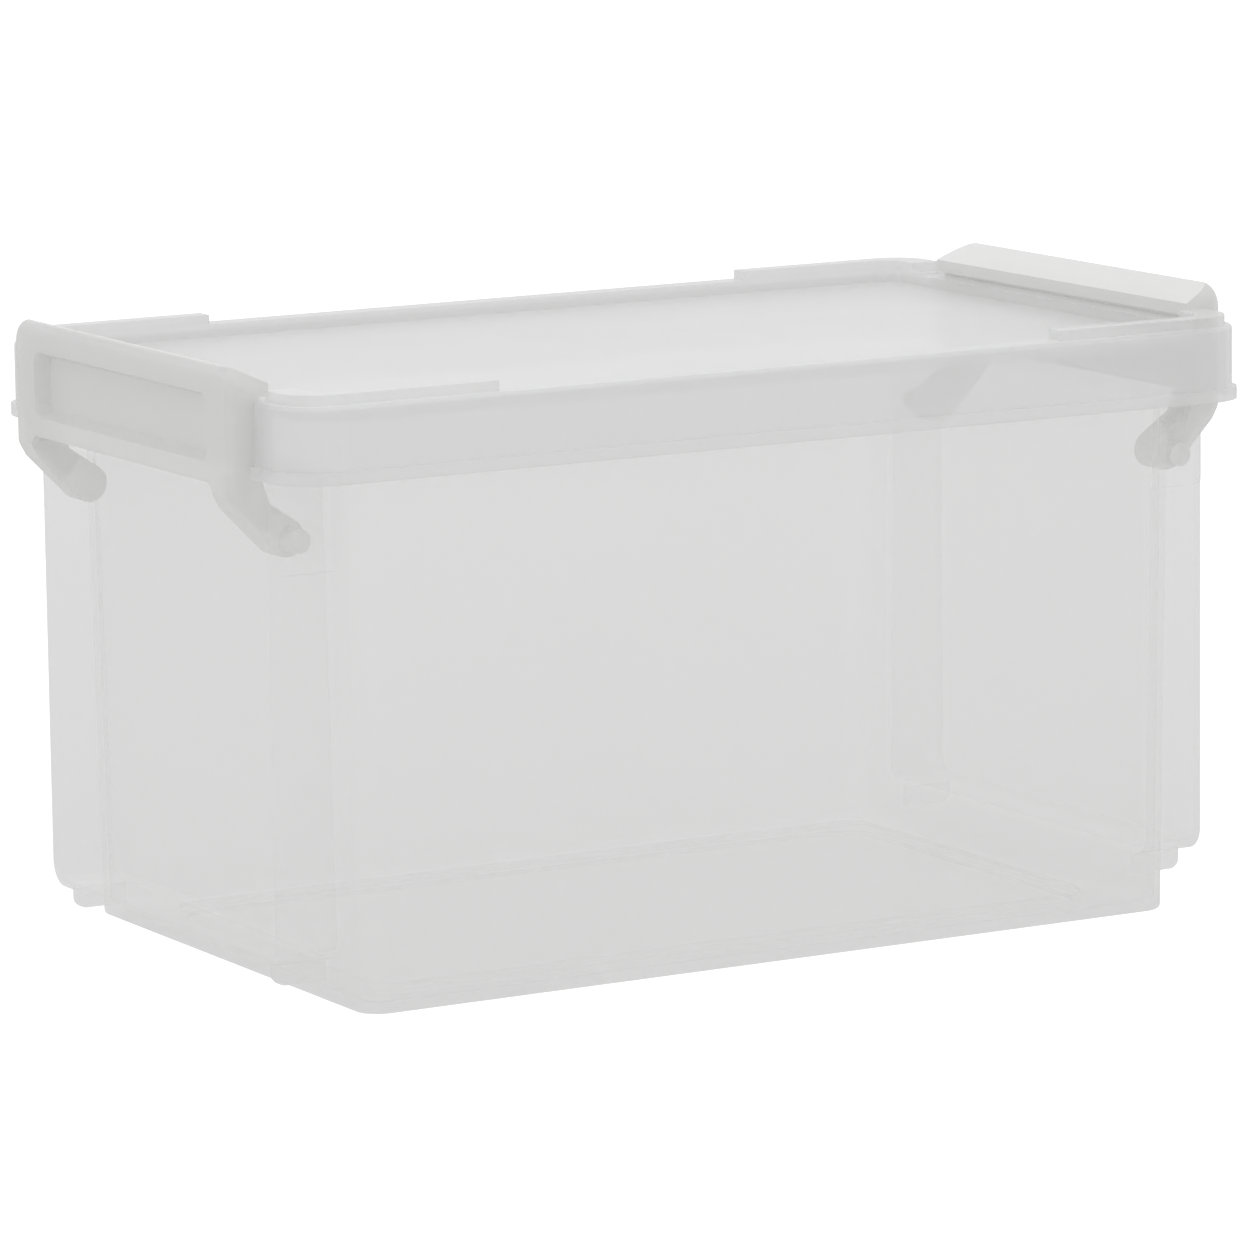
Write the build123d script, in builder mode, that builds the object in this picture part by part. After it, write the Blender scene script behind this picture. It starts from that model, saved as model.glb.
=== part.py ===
"""Clear storage box: a moulded tub, a lift-off lid and two hooked end handles (millimetres).

The length runs along X and the width along Y. The tub stands on z = 0, centred on the origin.
Both ends are alike, and so are both long sides.
"""

import os
from math import cos, radians, sin

from build123d import *

os.makedirs("parts", exist_ok=True)

# Driving dimensions: half lengths are along X, half widths along Y, heights from the table.
WALL = 2.0

# Tub body: a drafted box with rounded corners and a floor stepped up in the middle.
FOOT_HALF_LENGTH = 152.7
FOOT_HALF_WIDTH = 98.5
BODY_CORNER = 9.0
BODY_DRAFT = 0.8
FOOT_EDGE = 1.5
FLOOR = 3.0
FLOOR_EDGE = 3.0
FLOOR_STEP = 1.5
FLOOR_STEP_HALF_LENGTH = 134.0
FLOOR_STEP_HALF_WIDTH = 74.0
FLOOR_STEP_CORNER = 10.0

# End frames: a fin on each side that carries a handle, and a shelf that joins them at the bottom.
FIN_HALF_LENGTH = 175.0
FIN_FACE = 83.5
FIN_THICKNESS = 3.8
SHELF_BOTTOM = 15.0
SHELF_TOP = 17.6
FRAME_CORNER = 8.0

# Feet: ribs under the shelf.
STEP_HALF_LENGTH = 172.5
STEP_FACE = 74.0
STEP_THICKNESS = 3.0
STEP_BOTTOM = 7.8
STEP_CORNER = 3.5

# Tub rim: a ledge and a collar, both covered by the lid.
LEDGE_BOTTOM = 171.4
COLLAR_TOP = 194.3
COLLAR_HALF_LENGTH = 172.6
COLLAR_HALF_WIDTH = 103.0
COLLAR_CORNER = 12.0

# Handle pivots: round pegs of the handle that turn in holes through the fins.
PIVOT_X = 166.2
PIVOT_Z = 151.6
PEG_RADIUS = 4.0
PEG_CLEARANCE = 0.08
HOUSING_BOTTOM = 141.0
HOUSING_INNER = 153.6
HOUSING_OUTER = 174.4
HOUSING_RAISE = 1.2
HOUSING_CORNER = 2.0

# Lid: a skirt, a flat rim band, a sunk top panel and four raised stacking lugs.
LID_HALF_LENGTH = 179.0
LID_HALF_WIDTH = 107.5
LID_CORNER = 16.0
LID_RIM = 196.7
LID_TOP = 200.0
SKIRT_BOTTOM = 172.0
BAND_WIDTH = 9.5
SKIRT_CEILING = 194.6
PANEL_DROP = 4.3
SUNK_CORNER = 8.0
LID_EDGE = 1.4
BEAD_HEIGHT = 4.0
BEAD_OUT = 1.6
LUG_SETBACK = 2.5
LUG_START_X = 105.0
LUG_START_Y = 84.0
NOTCH_FACE = 175.6
NOTCH_HALF_WIDTH = 80.5
NOTCH_RIM = 196.0
NOTCH_REACH = 20.0

# Handle: a panel with a finger recess, two side cheeks with pegs and a lip that hooks over the lid.
HANDLE_FACE = 187.0
HANDLE_SKIN = 2.4
HANDLE_HALF_WIDTH = 78.7
HANDLE_BOTTOM = 169.5
HANDLE_TOP = 207.2
HANDLE_CORNER = 8.0
HANDLE_EDGE = 3.0
CHEEK_THICKNESS = 2.6
CHEEK_INNER = 176.4
CHEEK_INNER_BOTTOM = 172.6
CHEEK_TURN = 166.0
CHEEK_TURN_EDGE = 5.0
LEG_WIDTH = 12.6
LEG_CORNER = 4.0
KNEE_X = 184.4
KNEE_Z = 161.3
ARM_BEND_X = 173.4
ARM_BEND_Z = 164.0
BOSS_RADIUS = 6.2
ARM_FRONT_ANGLE = -47.0
ARM_BACK_ANGLE = 124.0
LIP_TIP = 172.8
LIP_LAND = 3.0
LIP_UNDERSIDE = 197.3
LIP_TIP_TOP = 201.4
RECESS_HALF_WIDTH = 63.0
RECESS_BOTTOM = 176.0
RECESS_TOP = 197.6
RECESS_DEPTH = 5.0
RECESS_TAPER = 22.0
RECESS_CORNER = 4.0
TRIM_DEPTH = 100.0

BOTH_SIDES = (1, -1)


def boss_point(angle):
    """A point on the handle's pivot boss, in degrees above the outward direction."""
    return (PIVOT_X + BOSS_RADIUS * cos(radians(angle)), PIVOT_Z + BOSS_RADIUS * sin(radians(angle)))


def on_leg_outline(edge):
    """True for the edges down the front and underside of a handle's leg."""
    at = edge.center()
    return at.X > KNEE_X or (at.Z < KNEE_Z and at.X > PIVOT_X + BOSS_RADIUS)


# ---------------------------------------------------------------- tub
with BuildPart() as tub:
    # Body, narrower at the foot.
    with BuildSketch(Plane.XY):
        RectangleRounded(2 * FOOT_HALF_LENGTH, 2 * FOOT_HALF_WIDTH, BODY_CORNER)
    extrude(amount=LEDGE_BOTTOM, taper=-BODY_DRAFT)
    fillet(faces().sort_by(Axis.Z)[0].edges(), FOOT_EDGE)

    # End frames: one bent plate, fin to shelf to fin, that stands out past both ends.
    with BuildSketch(Plane.YZ):
        with Locations((0, (SHELF_BOTTOM + LEDGE_BOTTOM) / 2)):
            Rectangle(2 * FIN_FACE, LEDGE_BOTTOM - SHELF_BOTTOM)
        fillet(vertices().group_by(Axis.Y)[0], FRAME_CORNER)
        with Locations((0, (SHELF_TOP + LEDGE_BOTTOM) / 2)):
            Rectangle(2 * (FIN_FACE - FIN_THICKNESS), LEDGE_BOTTOM - SHELF_TOP, mode=Mode.SUBTRACT)
        fillet(vertices().group_by(Axis.Y)[1], FRAME_CORNER - FIN_THICKNESS)
    extrude(amount=FIN_HALF_LENGTH, both=True)

    for side in BOTH_SIDES:
        # Feet, from under the shelf.
        with BuildSketch(Plane.XZ.offset(side * (STEP_FACE - STEP_THICKNESS / 2))):
            with Locations((0, (STEP_BOTTOM + SHELF_TOP) / 2)):
                Rectangle(2 * STEP_HALF_LENGTH, SHELF_TOP - STEP_BOTTOM)
            fillet(vertices().group_by(Axis.Y)[0], STEP_CORNER)
        extrude(amount=STEP_THICKNESS / 2, both=True)

        # Pivot housings, raised on the outer face of each fin.
        with BuildSketch(Plane.XZ.offset(side * (FIN_FACE + HOUSING_RAISE / 2))):
            for end in BOTH_SIDES:
                with Locations(
                    (end * (HOUSING_INNER + HOUSING_OUTER) / 2, (HOUSING_BOTTOM + LEDGE_BOTTOM) / 2)
                ):
                    Rectangle(HOUSING_OUTER - HOUSING_INNER, LEDGE_BOTTOM - HOUSING_BOTTOM)
            fillet(vertices().group_by(Axis.Y)[0], HOUSING_CORNER)
        extrude(amount=HOUSING_RAISE / 2, both=True)

    # Ledge and collar at the rim.
    with BuildSketch(Plane.XY.offset(LEDGE_BOTTOM)):
        RectangleRounded(2 * COLLAR_HALF_LENGTH, 2 * COLLAR_HALF_WIDTH, COLLAR_CORNER)
    extrude(amount=COLLAR_TOP - LEDGE_BOTTOM)

    # Hollow: body, then the wider collar.
    with BuildSketch(Plane.XY.offset(FLOOR)):
        RectangleRounded(
            2 * (FOOT_HALF_LENGTH - WALL), 2 * (FOOT_HALF_WIDTH - WALL), BODY_CORNER - WALL
        )
    extrude(amount=LEDGE_BOTTOM + WALL - FLOOR, taper=-BODY_DRAFT, mode=Mode.SUBTRACT)
    fillet(faces().filter_by(Axis.Z).sort_by_distance((0, 0, FLOOR))[0].edges(), FLOOR_EDGE)
    with BuildSketch(Plane.XY.offset(LEDGE_BOTTOM + WALL)):
        RectangleRounded(
            2 * (COLLAR_HALF_LENGTH - WALL), 2 * (COLLAR_HALF_WIDTH - WALL), COLLAR_CORNER - WALL
        )
    extrude(amount=COLLAR_TOP - LEDGE_BOTTOM - WALL, mode=Mode.SUBTRACT)

    # The floor is stepped up in the middle, above and below.
    with BuildSketch(Plane.XY.offset(FLOOR)):
        RectangleRounded(
            2 * (FLOOR_STEP_HALF_LENGTH + WALL), 2 * (FLOOR_STEP_HALF_WIDTH + WALL), FLOOR_STEP_CORNER
        )
    extrude(amount=FLOOR_STEP)
    with BuildSketch(Plane.XY):
        RectangleRounded(2 * FLOOR_STEP_HALF_LENGTH, 2 * FLOOR_STEP_HALF_WIDTH, FLOOR_STEP_CORNER)
    extrude(amount=FLOOR_STEP, mode=Mode.SUBTRACT)

    # Peg holes through the fins and their housings.
    with BuildSketch(Plane.XZ):
        with Locations((PIVOT_X, PIVOT_Z), (-PIVOT_X, PIVOT_Z)):
            Circle(PEG_RADIUS + PEG_CLEARANCE)
    extrude(amount=FIN_FACE + 2 * HOUSING_RAISE, both=True, mode=Mode.SUBTRACT)

tub.part.label = "tub"
export_step(tub.part, "parts/tub.step")


# ---------------------------------------------------------------- lid
with BuildPart() as lid:
    # Outer block, with a bead round the foot of the skirt.
    with BuildSketch(Plane.XY.offset(SKIRT_BOTTOM)):
        RectangleRounded(2 * LID_HALF_LENGTH, 2 * LID_HALF_WIDTH, LID_CORNER)
    extrude(amount=LID_RIM - SKIRT_BOTTOM)
    fillet(faces().sort_by(Axis.Z)[-1].edges(), LID_EDGE)
    with BuildSketch(Plane.XY.offset(SKIRT_BOTTOM)):
        RectangleRounded(
            2 * (LID_HALF_LENGTH + BEAD_OUT), 2 * (LID_HALF_WIDTH + BEAD_OUT), LID_CORNER + BEAD_OUT
        )
    extrude(amount=BEAD_HEIGHT)

    # Stacking lugs at the four corners of the band.
    with BuildSketch(Plane.XY.offset(LID_RIM - WALL / 2)):
        RectangleRounded(
            2 * (LID_HALF_LENGTH - LUG_SETBACK), 2 * (LID_HALF_WIDTH - LUG_SETBACK), LID_CORNER - LUG_SETBACK
        )
        Rectangle(2 * LUG_START_X, 2 * LID_HALF_WIDTH, mode=Mode.SUBTRACT)
        Rectangle(2 * LID_HALF_LENGTH, 2 * LUG_START_Y, mode=Mode.SUBTRACT)
    extrude(amount=LID_TOP - LID_RIM + WALL / 2)

    # End notches for the handles, with a slightly lower rim behind the lip.
    for end in BOTH_SIDES:
        with BuildSketch(Plane.XY.offset(SKIRT_BOTTOM)):
            with Locations((end * (NOTCH_FACE + NOTCH_REACH / 2), 0)):
                Rectangle(NOTCH_REACH, 2 * NOTCH_HALF_WIDTH)
        extrude(amount=LID_TOP - SKIRT_BOTTOM, mode=Mode.SUBTRACT)
        with BuildSketch(Plane.XY.offset(NOTCH_RIM)):
            with Locations((end * NOTCH_FACE, 0)):
                Rectangle(2 * BAND_WIDTH, 2 * NOTCH_HALF_WIDTH)
        extrude(amount=LID_TOP - NOTCH_RIM, mode=Mode.SUBTRACT)

    # Hollow skirt, following the notches.
    with BuildSketch(Plane.XY.offset(SKIRT_BOTTOM)):
        RectangleRounded(
            2 * (LID_HALF_LENGTH - WALL), 2 * (LID_HALF_WIDTH - WALL), LID_CORNER - WALL
        )
        for end in BOTH_SIDES:
            with Locations((end * (NOTCH_FACE - WALL + NOTCH_REACH / 2), 0)):
                Rectangle(NOTCH_REACH, 2 * (NOTCH_HALF_WIDTH + WALL), mode=Mode.SUBTRACT)
    extrude(amount=SKIRT_CEILING - SKIRT_BOTTOM, mode=Mode.SUBTRACT)

    # Sunk top panel with its step wall.
    with BuildSketch(Plane.XY.offset(LID_RIM - PANEL_DROP - WALL)):
        RectangleRounded(
            2 * (NOTCH_FACE - BAND_WIDTH + WALL),
            2 * (LID_HALF_WIDTH - BAND_WIDTH + WALL),
            SUNK_CORNER + WALL,
        )
    extrude(amount=PANEL_DROP)
    with BuildSketch(Plane.XY.offset(LID_RIM - PANEL_DROP)):
        RectangleRounded(
            2 * (NOTCH_FACE - BAND_WIDTH), 2 * (LID_HALF_WIDTH - BAND_WIDTH), SUNK_CORNER
        )
    extrude(amount=LID_TOP - LID_RIM + PANEL_DROP, mode=Mode.SUBTRACT)

lid.part.label = "lid"
export_step(lid.part, "parts/lid.step")


# ---------------------------------------------------------------- handles
with BuildPart() as right_handle:
    # Outer form, seen from the side: panel, lip and the legs that run in to the pivots.
    inner_face = HANDLE_FACE - HANDLE_SKIN
    leg_inner = HANDLE_HALF_WIDTH - LEG_WIDTH
    with BuildSketch(Plane.XZ):
        with BuildLine():
            Polyline(
                (HANDLE_FACE, HANDLE_TOP),
                (HANDLE_FACE, CHEEK_TURN),
                (KNEE_X, KNEE_Z),
                boss_point(ARM_FRONT_ANGLE),
                boss_point(ARM_BACK_ANGLE),
                (ARM_BEND_X, ARM_BEND_Z),
                (CHEEK_INNER, CHEEK_INNER_BOTTOM),
                (CHEEK_INNER, LIP_UNDERSIDE),
                (LIP_TIP, LIP_UNDERSIDE),
                (LIP_TIP, LIP_TIP_TOP),
                (inner_face, HANDLE_TOP),
                close=True,
            )
        make_face()
        fillet(vertices().sort_by_distance((HANDLE_FACE, CHEEK_TURN))[0], CHEEK_TURN_EDGE)
        with Locations((PIVOT_X, PIVOT_Z)):
            Circle(BOSS_RADIUS)
    extrude(amount=HANDLE_HALF_WIDTH, both=True)

    # Rounded upper corners, then the open space between the legs.
    with BuildSketch(Plane.YZ.offset(PIVOT_X - 2 * BOSS_RADIUS)):
        with Locations((0, HANDLE_TOP - TRIM_DEPTH / 2)):
            Rectangle(2 * HANDLE_HALF_WIDTH, TRIM_DEPTH)
        fillet(vertices().group_by(Axis.Y)[-1], HANDLE_CORNER)
        with Locations((0, HANDLE_BOTTOM - TRIM_DEPTH / 2)):
            Rectangle(2 * leg_inner, TRIM_DEPTH, mode=Mode.SUBTRACT)
        fillet(vertices().group_by(Axis.Y)[1], LEG_CORNER)
    extrude(amount=TRIM_DEPTH, mode=Mode.INTERSECT)

    # One soft rounding along the top, down both sides and under the legs.
    front_face = faces().sort_by(Axis.X)[-1]
    rounded = front_face.edges().filter_by(lambda e: e.center().Z > HANDLE_TOP - HANDLE_CORNER)
    side_faces = faces().filter_by(Axis.Y).group_by(Axis.Y)
    for side_face in (*side_faces[0], *side_faces[-1]):
        rounded += side_face.edges().filter_by(on_leg_outline)
    fillet(rounded, HANDLE_EDGE)

    # Hollow behind the panel and under the lip, between the side cheeks.
    with BuildSketch(Plane.XZ):
        with BuildLine():
            Polyline(
                (LIP_TIP - WALL, LIP_UNDERSIDE),
                (LIP_TIP + LIP_LAND, LIP_UNDERSIDE),
                (inner_face, HANDLE_TOP - 2 * HANDLE_SKIN),
                (inner_face, HANDLE_BOTTOM + HANDLE_SKIN),
                (LIP_TIP - WALL, HANDLE_BOTTOM + HANDLE_SKIN),
                close=True,
            )
        make_face()
    extrude(amount=HANDLE_HALF_WIDTH - CHEEK_THICKNESS, both=True, mode=Mode.SUBTRACT)
    with BuildSketch(Plane.XZ):
        with Locations(((inner_face + PIVOT_X) / 2, HANDLE_BOTTOM)):
            Rectangle(inner_face - PIVOT_X, 2 * HANDLE_SKIN)
    extrude(amount=leg_inner, both=True, mode=Mode.SUBTRACT)

    # Each leg is a channel, open towards the tub.
    for side in BOTH_SIDES:
        leg_centre = HANDLE_HALF_WIDTH - LEG_WIDTH / 2
        with BuildSketch(Plane.XZ.offset(side * leg_centre)):
            with BuildLine():
                Polyline(
                    (inner_face, HANDLE_BOTTOM + 2 * HANDLE_SKIN),
                    (inner_face, CHEEK_TURN),
                    (KNEE_X - HANDLE_SKIN, KNEE_Z + HANDLE_SKIN),
                    (PIVOT_X + BOSS_RADIUS, PIVOT_Z + HANDLE_SKIN),
                    (PIVOT_X, PIVOT_Z + 2 * BOSS_RADIUS),
                    (PIVOT_X, HANDLE_BOTTOM + 2 * HANDLE_SKIN),
                    close=True,
                )
            make_face()
            with Locations((PIVOT_X, PIVOT_Z)):
                Circle(BOSS_RADIUS, mode=Mode.SUBTRACT)
        extrude(amount=LEG_WIDTH / 2 - CHEEK_THICKNESS, both=True, mode=Mode.SUBTRACT)

    # Finger recess: a tapered pocket with its own back wall.
    recess_centre = (RECESS_BOTTOM + RECESS_TOP) / 2
    recess_height = RECESS_TOP - RECESS_BOTTOM
    with BuildSketch(Plane.YZ.offset(HANDLE_FACE - RECESS_DEPTH - HANDLE_SKIN)):
        with Locations((0, recess_centre)):
            RectangleRounded(
                2 * RECESS_HALF_WIDTH + HANDLE_SKIN, recess_height + HANDLE_SKIN, RECESS_CORNER
            )
    extrude(amount=RECESS_DEPTH + HANDLE_SKIN / 2)
    with BuildSketch(Plane.YZ.offset(HANDLE_FACE)):
        with Locations((0, recess_centre)):
            RectangleRounded(2 * RECESS_HALF_WIDTH, recess_height, RECESS_CORNER)
    extrude(amount=-RECESS_DEPTH, taper=RECESS_TAPER, mode=Mode.SUBTRACT)

    # Pegs, through the fins to the outer face of their housings.
    for side in BOTH_SIDES:
        with BuildSketch(Plane.XZ.offset(side * (HANDLE_HALF_WIDTH - CHEEK_THICKNESS))):
            with Locations((PIVOT_X, PIVOT_Z)):
                Circle(PEG_RADIUS)
        extrude(amount=side * (FIN_FACE + HOUSING_RAISE - HANDLE_HALF_WIDTH + CHEEK_THICKNESS))

right_handle.part.label = "right_handle"
export_step(right_handle.part, "parts/right_handle.step")

with BuildPart() as left_handle:
    mirror(right_handle.part, about=Plane.YZ)

left_handle.part.label = "left_handle"
export_step(left_handle.part, "parts/left_handle.step")
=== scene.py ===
"""Looks for the clear storage box: its plastics, the camera, the floor and the light."""

import math

import bpy
from mathutils import Matrix, Vector

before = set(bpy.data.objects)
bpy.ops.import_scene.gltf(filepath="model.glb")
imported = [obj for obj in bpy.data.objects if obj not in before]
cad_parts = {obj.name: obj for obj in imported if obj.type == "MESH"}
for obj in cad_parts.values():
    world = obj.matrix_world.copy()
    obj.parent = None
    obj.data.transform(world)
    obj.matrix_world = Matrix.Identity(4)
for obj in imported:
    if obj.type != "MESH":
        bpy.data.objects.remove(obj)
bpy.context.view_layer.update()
scene = bpy.context.scene

# ------------------------------------------------------------------ camera
# It stands off the front left corner, a little above the lid, with a long lens.
AZIMUTH = math.radians(29.73)
ELEVATION = math.radians(9.58)
ROLL = math.radians(-0.74)
DISTANCE = 2.4536
AIM = Vector((0.0, 0.0, 0.1))
OFFSET_RIGHT = -0.00097
OFFSET_UP = 0.00409
SENSOR_MM = 36.0
LENS_MM = 209.0
FAR_CLIP = 50.0


def add_camera():
    """The camera, turned by ROLL about its own line of sight."""
    towards = Vector(
        (
            -math.sin(AZIMUTH) * math.cos(ELEVATION),
            -math.cos(AZIMUTH) * math.cos(ELEVATION),
            math.sin(ELEVATION),
        )
    )
    level = Vector((math.cos(AZIMUTH), -math.sin(AZIMUTH), 0.0))
    upright = towards.cross(level)
    right = math.cos(ROLL) * level + math.sin(ROLL) * upright
    up = -math.sin(ROLL) * level + math.cos(ROLL) * upright
    place = AIM + DISTANCE * towards - OFFSET_RIGHT * right - OFFSET_UP * up

    data = bpy.data.cameras.new("camera")
    data.sensor_width = SENSOR_MM
    data.lens = LENS_MM
    data.clip_end = FAR_CLIP
    camera = bpy.data.objects.new("camera", data)
    turn = Matrix((right, up, towards)).transposed().to_4x4()
    camera.matrix_world = Matrix.Translation(place) @ turn
    scene.collection.objects.link(camera)
    scene.camera = camera


add_camera()


# ------------------------------------------------------------------ shader nodes
def new_material(name):
    """An empty node material, with its tree and its Principled shader."""
    material = bpy.data.materials.new(name)
    material.use_nodes = True
    tree = material.node_tree
    return material, tree, tree.nodes["Principled BSDF"]


def noise(tree, scale, stretch=(1.0, 1.0, 1.0)):
    """A noise factor over the object, in cycles per metre along each axis."""
    coords = tree.nodes.new("ShaderNodeTexCoord")
    mapping = tree.nodes.new("ShaderNodeMapping")
    mapping.inputs["Scale"].default_value = stretch
    tree.links.new(coords.outputs["Object"], mapping.inputs["Vector"])
    texture = tree.nodes.new("ShaderNodeTexNoise")
    texture.inputs["Scale"].default_value = scale
    tree.links.new(mapping.outputs["Vector"], texture.inputs["Vector"])
    return texture.outputs["Fac"]


def spread(tree, factor, low, high):
    """Maps a factor of 0 to 1 to the range low to high."""
    remap = tree.nodes.new("ShaderNodeMapRange")
    remap.inputs["To Min"].default_value = low
    remap.inputs["To Max"].default_value = high
    tree.links.new(factor, remap.inputs["Value"])
    return remap.outputs["Result"]


def combine(tree, operation, a, b):
    """One clamped Math node on two outputs."""
    node = tree.nodes.new("ShaderNodeMath")
    node.operation = operation
    node.use_clamp = True
    tree.links.new(a, node.inputs[0])
    tree.links.new(b, node.inputs[1])
    return node.outputs[0]


# ------------------------------------------------------------------ plastics
CLOUD_SCALE = 9.0
CLOUD_STRETCH = (1.0, 1.0, 1.5)
CLOUD_SHADE = 0.98
CLOUD_HAZE = 0.03
CLOUD_ROUGHNESS = 0.2
GRAIN_SCALE = 700.0
GRAIN_STRENGTH = 0.25
RIM_BLEND = 0.1
PLASTIC_IOR = 1.49


def polypropylene(name, tone, haze, rim_haze, roughness, grain):
    """Moulded polypropylene: haze where a wall faces us, rim_haze where it turns away.

    Slow clouds vary its tone, haze and gloss, and a fine grain, in metres high, its surface.
    """
    material, tree, shader = new_material(name)
    cloud = noise(tree, CLOUD_SCALE, CLOUD_STRETCH)

    blend = tree.nodes.new("ShaderNodeMixRGB")
    blend.inputs["Color1"].default_value = (*(c * CLOUD_SHADE for c in tone), 1.0)
    blend.inputs["Color2"].default_value = (*tone, 1.0)
    tree.links.new(cloud, blend.inputs["Fac"])
    tree.links.new(blend.outputs["Color"], shader.inputs["Base Color"])

    facing = tree.nodes.new("ShaderNodeLayerWeight")
    facing.inputs["Blend"].default_value = RIM_BLEND
    turned = spread(tree, facing.outputs["Facing"], haze, rim_haze)
    drift = spread(tree, cloud, -CLOUD_HAZE, CLOUD_HAZE)
    tree.links.new(combine(tree, "ADD", turned, drift), shader.inputs["Alpha"])

    smoothest = roughness * (1.0 - CLOUD_ROUGHNESS)
    roughest = roughness * (1.0 + CLOUD_ROUGHNESS)
    tree.links.new(spread(tree, cloud, smoothest, roughest), shader.inputs["Roughness"])
    shader.inputs["IOR"].default_value = PLASTIC_IOR

    bump = tree.nodes.new("ShaderNodeBump")
    bump.inputs["Strength"].default_value = GRAIN_STRENGTH
    bump.inputs["Distance"].default_value = grain
    tree.links.new(noise(tree, GRAIN_SCALE), bump.inputs["Height"])
    tree.links.new(bump.outputs["Normal"], shader.inputs["Normal"])
    return material


tub_plastic = polypropylene(
    "tub_plastic",
    tone=(0.93, 0.93, 0.925),
    haze=0.08,
    rim_haze=0.42,
    roughness=0.16,
    grain=0.00003,
)
lid_plastic = polypropylene(
    "lid_plastic",
    tone=(0.92, 0.925, 0.92),
    haze=0.33,
    rim_haze=1.0,
    roughness=0.2,
    grain=0.00004,
)
handle_plastic = polypropylene(
    "handle_plastic",
    tone=(0.925, 0.925, 0.92),
    haze=0.6,
    rim_haze=1.0,
    roughness=0.36,
    grain=0.00004,
)

PLASTICS = {
    "tub": tub_plastic,
    "lid": lid_plastic,
    "left_handle": handle_plastic,
    "right_handle": handle_plastic,
}
for name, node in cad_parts.items():
    for slot in node.material_slots:
        slot.material = PLASTICS[name]

# ------------------------------------------------------------------ floor and light
# Brightness of the room and of the floor's paper: as a light on the object, as seen through
# its clear walls, and as seen with nothing in front.
ROOM = {"lighting": 0.78, "through": 0.68, "bare": 1.0}
PAPER = {"lighting": 0.37, "through": 0.41, "bare": 0.83}
HALF_A_SURFACE = 0.5
WHITE = (1.0, 1.0, 1.0, 1.0)

PAPER_TONE = (0.35, 0.35, 0.35, 1.0)
PAPER_ROUGHNESS = 0.9
PAPER_SHINE = 0.1
FLOOR_REACH = 6.0
FLOOR_GAP = 0.0002

KEY_PLACE = Vector((0.75, 1.8, 1.3))
KEY_AIM = Vector((0.0, 0.0, 0.15))
KEY_SIZE = 1.2
KEY_POWER = 5.5


def by_view(tree, lighting, through, bare):
    """The stage's three brightnesses in one output, chosen by the kind of ray that meets it."""
    path = tree.nodes.new("ShaderNodeLightPath")
    nothing_crossed = tree.nodes.new("ShaderNodeMath")
    nothing_crossed.operation = "LESS_THAN"
    nothing_crossed.inputs[1].default_value = HALF_A_SURFACE
    tree.links.new(path.outputs["Transparent Depth"], nothing_crossed.inputs[0])
    direct = combine(tree, "MULTIPLY", path.outputs["Is Camera Ray"], nothing_crossed.outputs[0])
    seen = spread(tree, path.outputs["Is Camera Ray"], lighting, through)
    return combine(tree, "ADD", seen, spread(tree, direct, 0.0, bare - through))


def add_floor():
    """A wide sheet of pale paper, a hair below the object."""
    corners = ((-1, -1), (1, -1), (1, 1), (-1, 1))
    mesh = bpy.data.meshes.new("floor")
    mesh.from_pydata(
        [(x * FLOOR_REACH, y * FLOOR_REACH, -FLOOR_GAP) for x, y in corners], [], [(0, 1, 2, 3)]
    )
    floor = bpy.data.objects.new("floor", mesh)
    scene.collection.objects.link(floor)

    paper, tree, shader = new_material("paper")
    shader.inputs["Base Color"].default_value = PAPER_TONE
    shader.inputs["Roughness"].default_value = PAPER_ROUGHNESS
    shader.inputs["Specular IOR Level"].default_value = PAPER_SHINE
    shader.inputs["Emission Color"].default_value = WHITE
    tree.links.new(by_view(tree, **PAPER), shader.inputs["Emission Strength"])
    mesh.materials.append(paper)


def add_room():
    """An even white light from all round."""
    room = bpy.data.worlds.new("studio")
    room.use_nodes = True
    tree = room.node_tree
    background = tree.nodes["Background"]
    background.inputs["Color"].default_value = WHITE
    tree.links.new(by_view(tree, **ROOM), background.inputs["Strength"])
    scene.world = room


def add_key():
    """A large soft light from behind and above."""
    data = bpy.data.lights.new("key", "AREA")
    data.energy = KEY_POWER
    data.size = KEY_SIZE
    lamp = bpy.data.objects.new("key", data)
    lamp.location = KEY_PLACE
    lamp.rotation_euler = (KEY_AIM - KEY_PLACE).to_track_quat("-Z", "Y").to_euler()
    scene.collection.objects.link(lamp)


add_floor()
add_room()
add_key()

scene.view_settings.view_transform = "Standard"
scene.view_settings.look = "None"
scene.cycles.use_denoising = True

# Many clear walls lie one behind the other, so a ray crosses more surfaces than usual.
scene.cycles.transparent_max_bounces = 32
scene.cycles.max_bounces = 24
scene.cycles.diffuse_bounces = 20
scene.cycles.glossy_bounces = 6
